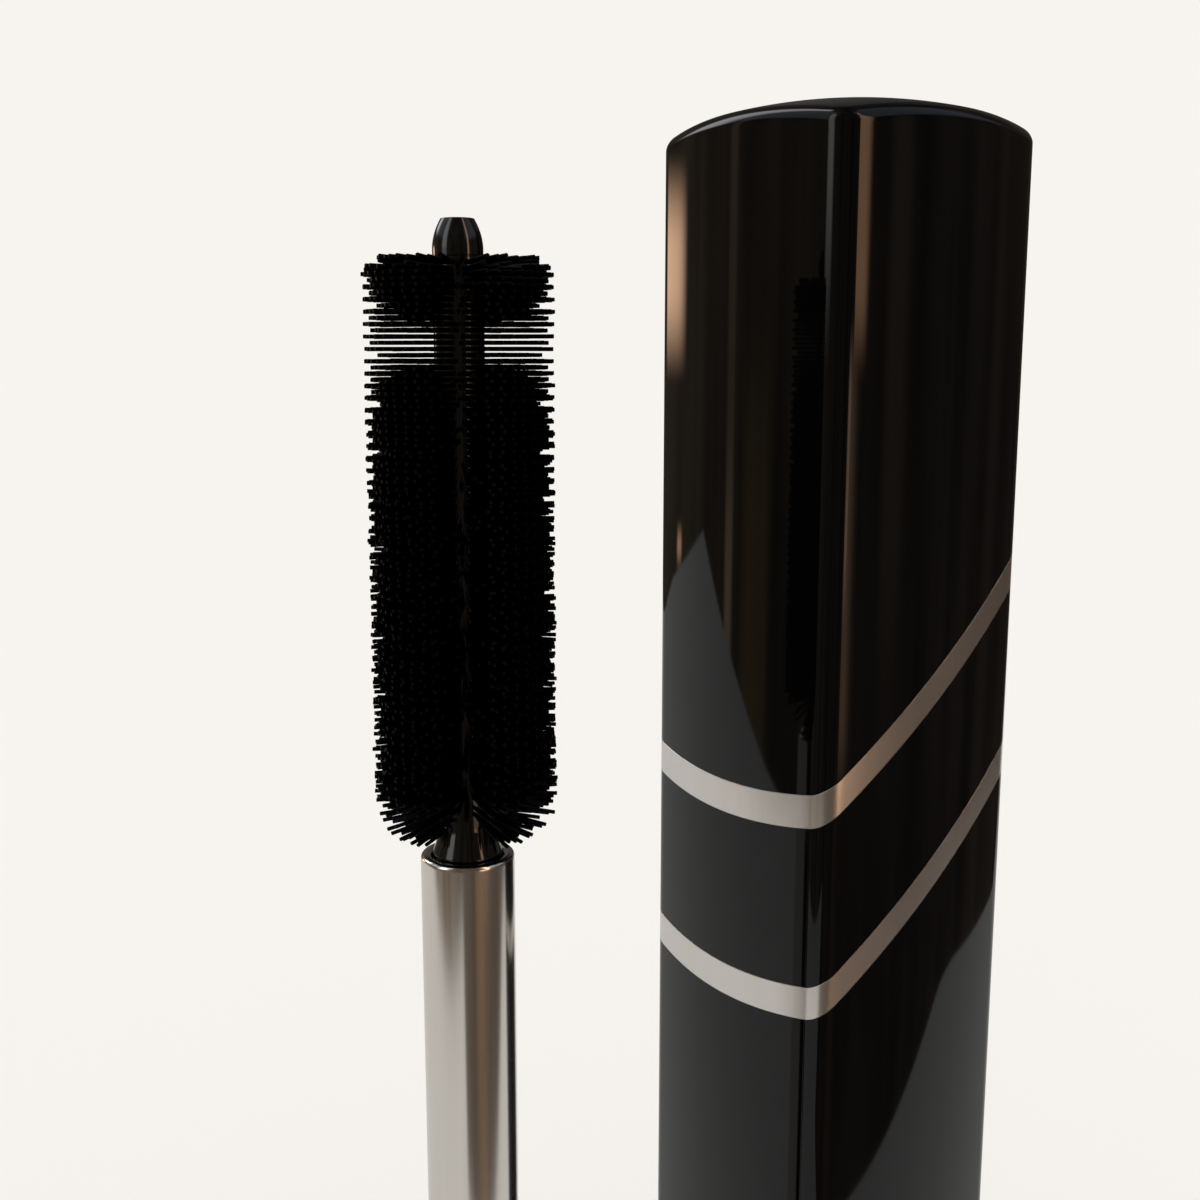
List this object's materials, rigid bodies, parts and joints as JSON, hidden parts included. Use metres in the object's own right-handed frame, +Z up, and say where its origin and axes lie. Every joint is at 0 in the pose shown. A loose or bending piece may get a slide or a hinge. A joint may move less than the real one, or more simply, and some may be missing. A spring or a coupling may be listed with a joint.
{
  "type": "mascara tube",
  "caption": "Opened mascara: a rounded-square tube with a domed closed end and two tilted bands, and its brush wand standing beside it on its handle.",
  "frame": {"origin": "on the surface that the object stands on, under the middle of its bounding box", "axes": "+Z up, +X from the wand's axis to the tube's axis, +Y to the back"},
  "size_m": [0.037, 0.0148, 0.1026],
  "materials": {
    "case_lacquer": "mirror-gloss black lacquer",
    "band_metal": "satin champagne-silver",
    "rod_metal": "satin warm silver",
    "black_moulding": "moulded black",
    "bottle_moulding": "natural, slightly hazy moulding",
    "wiper_rubber": "soft matte",
    "weight_steel": "turned steel",
    "liner_foam": "soft closed-cell foam",
    "brush_moulding": "gloss black moulding",
    "bristle": "black moulded bristles with a soft shine"
  },
  "bodies": {
    "tube": {"tube_shell": "case_lacquer", "upper_band": "band_metal", "lower_band": "band_metal", "collar": "black_moulding", "bottle": "bottle_moulding", "wiper": "wiper_rubber", "base_weight": "weight_steel"},
    "wand_stem": {"rod": "rod_metal", "liner": "liner_foam"},
    "wand": {"handle_shell": "case_lacquer", "socket": "black_moulding", "handle_weight": "weight_steel", "brush_core": "brush_moulding", "brush_tip": "brush_moulding", "bristles_top": "bristle", "bristles_main": "bristle", "bristles_root": "bristle"}
  },
  "joints": [
    {"name": "wand_pull", "type": "slide", "parent": "tube", "child": "wand_stem", "axis": [0, 0, 1], "range_m": [0, 0.08]},
    {"name": "wand_turn", "type": "hinge", "parent": "wand_stem", "child": "wand", "pos_m": [-0.01112, 0, 0.03], "axis": [0, 0, 1], "continuous": true}
  ]
}
